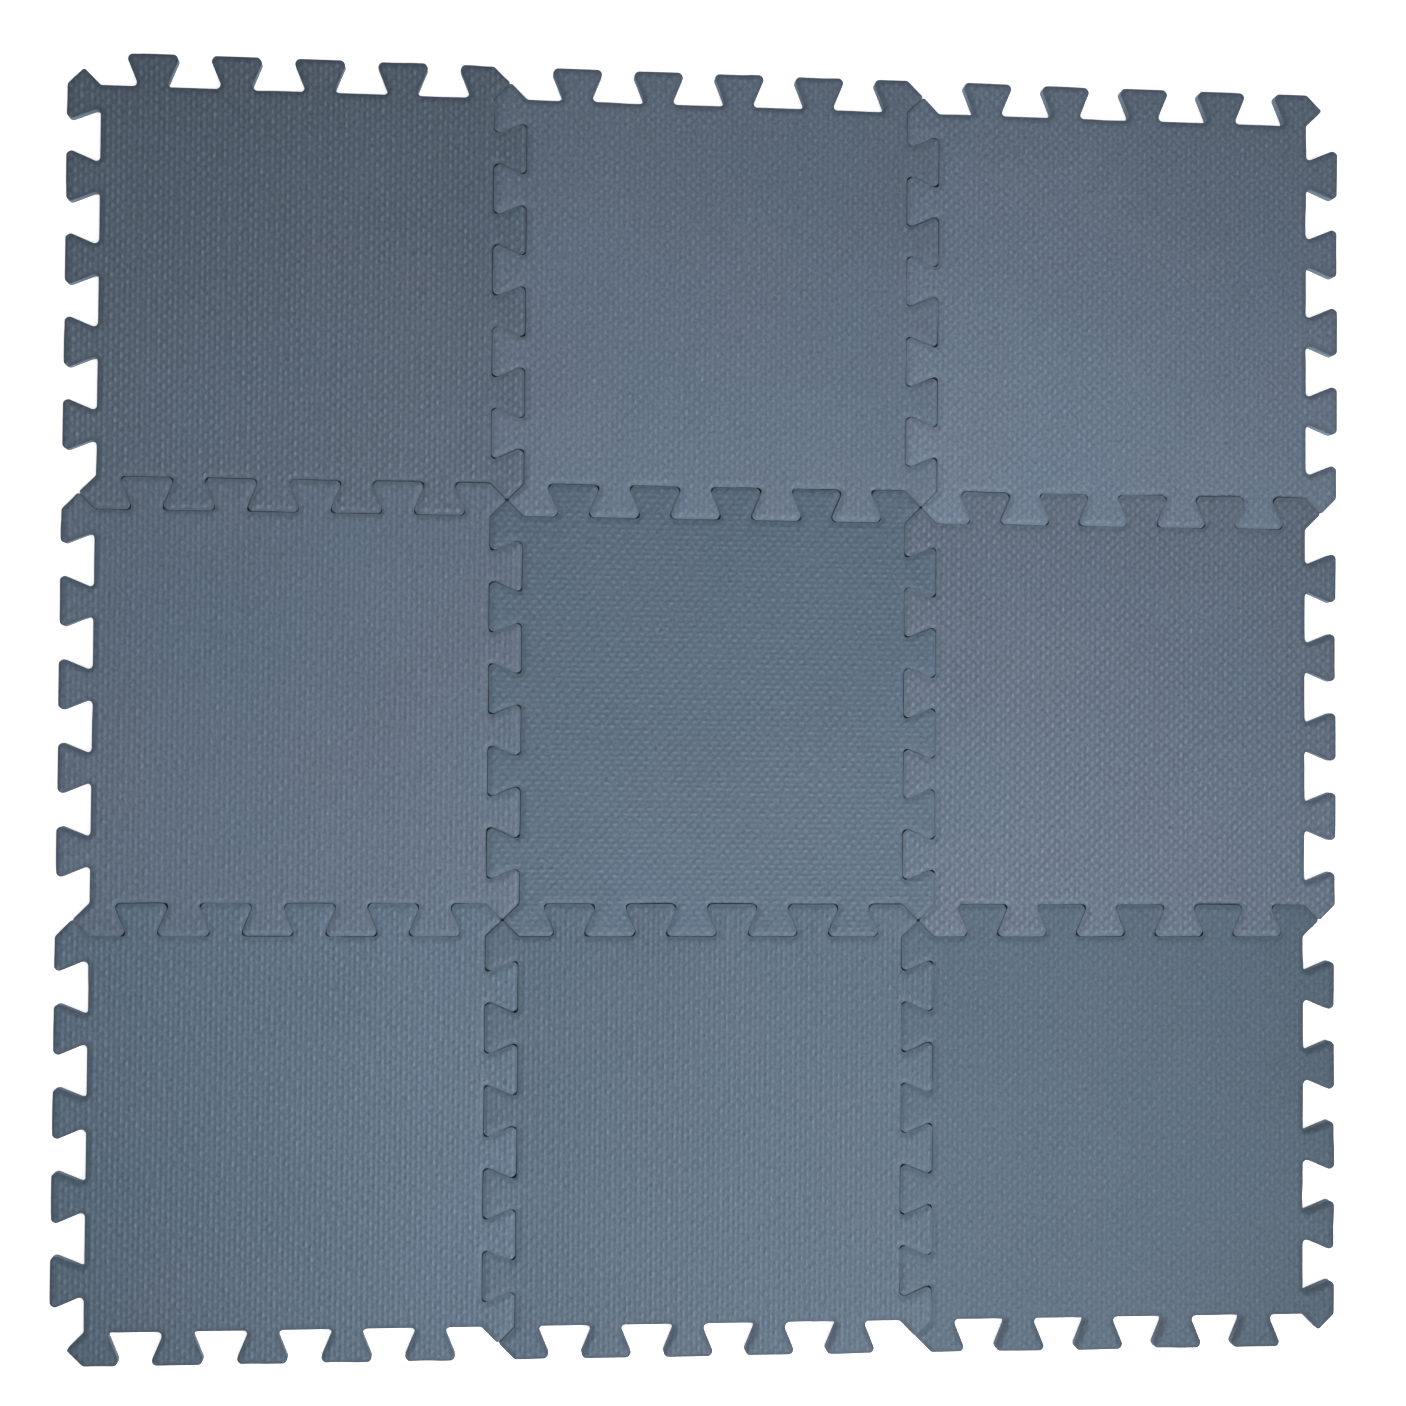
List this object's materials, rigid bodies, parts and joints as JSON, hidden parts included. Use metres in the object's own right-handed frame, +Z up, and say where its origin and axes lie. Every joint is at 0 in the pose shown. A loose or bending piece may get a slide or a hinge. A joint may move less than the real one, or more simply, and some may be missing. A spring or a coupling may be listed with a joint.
{
  "type": "blocking mats",
  "caption": "Square set of interlocking grey-blue foam tiles with dovetail edges and an embossed top, for pinning out knitting.",
  "frame": {"origin": "centre of the set, on the underside of the middle tile, on the surface that the mats lie on", "axes": "+Z up out of the embossed top, +Y towards the back row of tiles, +X towards the right column"},
  "size_m": [0.923, 0.923, 0.01],
  "materials": {
    "foam": "matte"
  },
  "bodies": {
    "front_left": {"tile_front_left": "foam"},
    "front_centre": {"tile_front_centre": "foam"},
    "front_right": {"tile_front_right": "foam"},
    "middle_left": {"tile_middle_left": "foam"},
    "middle_centre": {"tile_middle_centre": "foam"},
    "middle_right": {"tile_middle_right": "foam"},
    "back_left": {"tile_back_left": "foam"},
    "back_centre": {"tile_back_centre": "foam"},
    "back_right": {"tile_back_right": "foam"}
  },
  "joints": [
    {"name": "front_left_lift", "type": "slide", "parent": "middle_centre", "child": "front_left", "axis": [0, 0, 1], "range_m": [0, 0.04]},
    {"name": "front_centre_lift", "type": "slide", "parent": "middle_centre", "child": "front_centre", "axis": [0, 0, 1], "range_m": [0, 0.04]},
    {"name": "front_right_lift", "type": "slide", "parent": "middle_centre", "child": "front_right", "axis": [0, 0, 1], "range_m": [0, 0.04]},
    {"name": "middle_left_lift", "type": "slide", "parent": "middle_centre", "child": "middle_left", "axis": [0, 0, 1], "range_m": [0, 0.04]},
    {"name": "middle_right_lift", "type": "slide", "parent": "middle_centre", "child": "middle_right", "axis": [0, 0, 1], "range_m": [0, 0.04]},
    {"name": "back_left_lift", "type": "slide", "parent": "middle_centre", "child": "back_left", "axis": [0, 0, 1], "range_m": [0, 0.04]},
    {"name": "back_centre_lift", "type": "slide", "parent": "middle_centre", "child": "back_centre", "axis": [0, 0, 1], "range_m": [0, 0.04]},
    {"name": "back_right_lift", "type": "slide", "parent": "middle_centre", "child": "back_right", "axis": [0, 0, 1], "range_m": [0, 0.04]}
  ]
}
